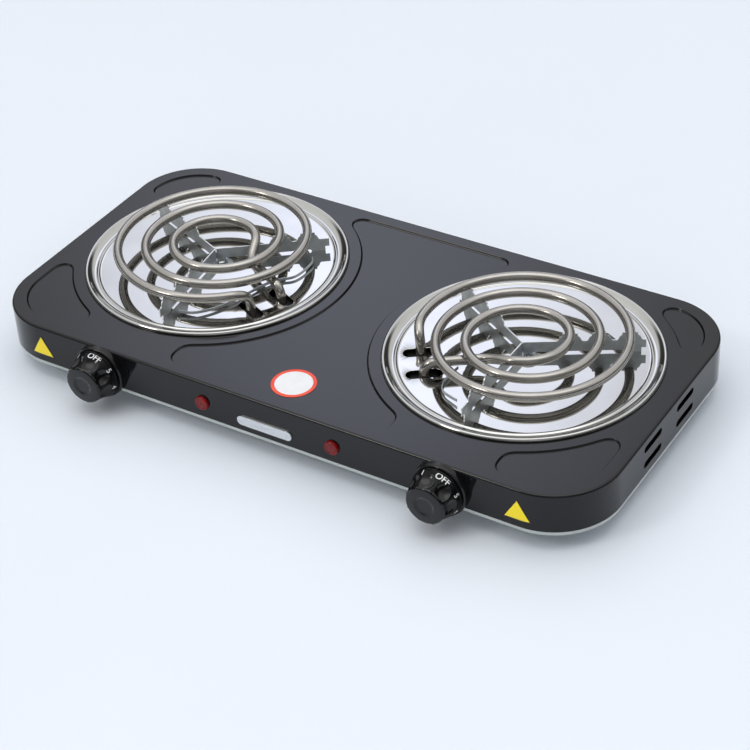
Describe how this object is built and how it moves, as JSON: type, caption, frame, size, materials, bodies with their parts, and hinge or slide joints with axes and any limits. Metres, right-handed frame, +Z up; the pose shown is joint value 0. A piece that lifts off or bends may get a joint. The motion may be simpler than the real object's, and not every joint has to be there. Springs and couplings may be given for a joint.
{
  "type": "hot plate burner",
  "caption": "Countertop electric hot plate with two spiral heating elements over bright drip pans, dial knobs and pilot lamps.",
  "frame": {"origin": "on the resting surface, under the middle of the overall box", "axes": "+X to the right along the length, +Y to the back, +Z up"},
  "size_m": [0.46, 0.256, 0.0613],
  "materials": {
    "black_enamel": "gloss enamel",
    "tray_paint": "satin grey-green paint",
    "zinc_plate": "zinc-plated sheet",
    "screw_steel": "nickel-plated",
    "foot_rubber": "matte",
    "pan_chrome": "mirror chrome",
    "element_sheath": "satin nickel-alloy sheath",
    "ceramic": "unglazed steatite",
    "brass": "satin",
    "knob_plastic": "gloss phenolic",
    "bezel_plastic": "semi-gloss phenolic",
    "lamp_ruby": "translucent red lens",
    "wire_brown": "sleeved wire",
    "wire_white": "sleeved wire",
    "wire_blue": "sleeved wire",
    "wire_green": "sleeved wire",
    "badge_silver": "satin",
    "label_yellow": "plain printed label",
    "label_white": "plain printed label"
  },
  "bodies": {
    "body": {"top_shell": "black_enamel", "base_tray": "tray_paint", "corner_brackets": "zinc_plate", "base_screws": "screw_steel", "foot_front_left": "foot_rubber", "foot_front_right": "foot_rubber", "foot_back_left": "foot_rubber", "foot_back_right": "foot_rubber", "foot_screws": "screw_steel", "drip_pan_left": "pan_chrome", "drip_pan_right": "pan_chrome", "pan_screws": "screw_steel", "pan_washers": "screw_steel", "pan_nuts": "screw_steel", "coil_support_left": "zinc_plate", "coil_support_right": "zinc_plate", "coil_left": "element_sheath", "coil_right": "element_sheath", "coil_seals_left": "ceramic", "coil_seals_right": "ceramic", "coil_tabs_left": "screw_steel", "coil_tabs_right": "screw_steel", "leg_bracket_left": "zinc_plate", "leg_bracket_right": "zinc_plate", "regulator_frame_left": "zinc_plate", "regulator_frame_right": "zinc_plate", "regulator_block_left": "ceramic", "regulator_block_right": "ceramic", "regulator_tabs_left": "brass", "regulator_tabs_right": "brass", "regulator_screws": "screw_steel", "bezel_left": "bezel_plastic", "bezel_right": "bezel_plastic", "lamp_lens_left": "lamp_ruby", "lamp_lens_right": "lamp_ruby", "lamp_holder_left": "ceramic", "lamp_holder_right": "ceramic", "cord_gland": "bezel_plastic", "terminal_block": "ceramic", "terminal_screws": "brass", "wires_live": "wire_brown", "wires_load": "wire_white", "wires_neutral": "wire_blue", "wire_earth": "wire_green", "earth_screw": "brass", "badge": "badge_silver", "caution_label_left": "label_yellow", "caution_label_right": "label_yellow", "round_label": "label_white"},
    "dial_left": {"knob_left": "knob_plastic", "regulator_shaft_left": "screw_steel"},
    "dial_right": {"knob_right": "knob_plastic", "regulator_shaft_right": "screw_steel"}
  },
  "joints": [
    {"name": "dial_left_turn", "type": "hinge", "parent": "body", "child": "dial_left", "pos_m": [-0.131, -0.106, 0.0255], "axis": [0, 1, 0], "range_deg": [0, 300]},
    {"name": "dial_right_turn", "type": "hinge", "parent": "body", "child": "dial_right", "pos_m": [0.131, -0.106, 0.0255], "axis": [0, 1, 0], "range_deg": [0, 300]}
  ]
}
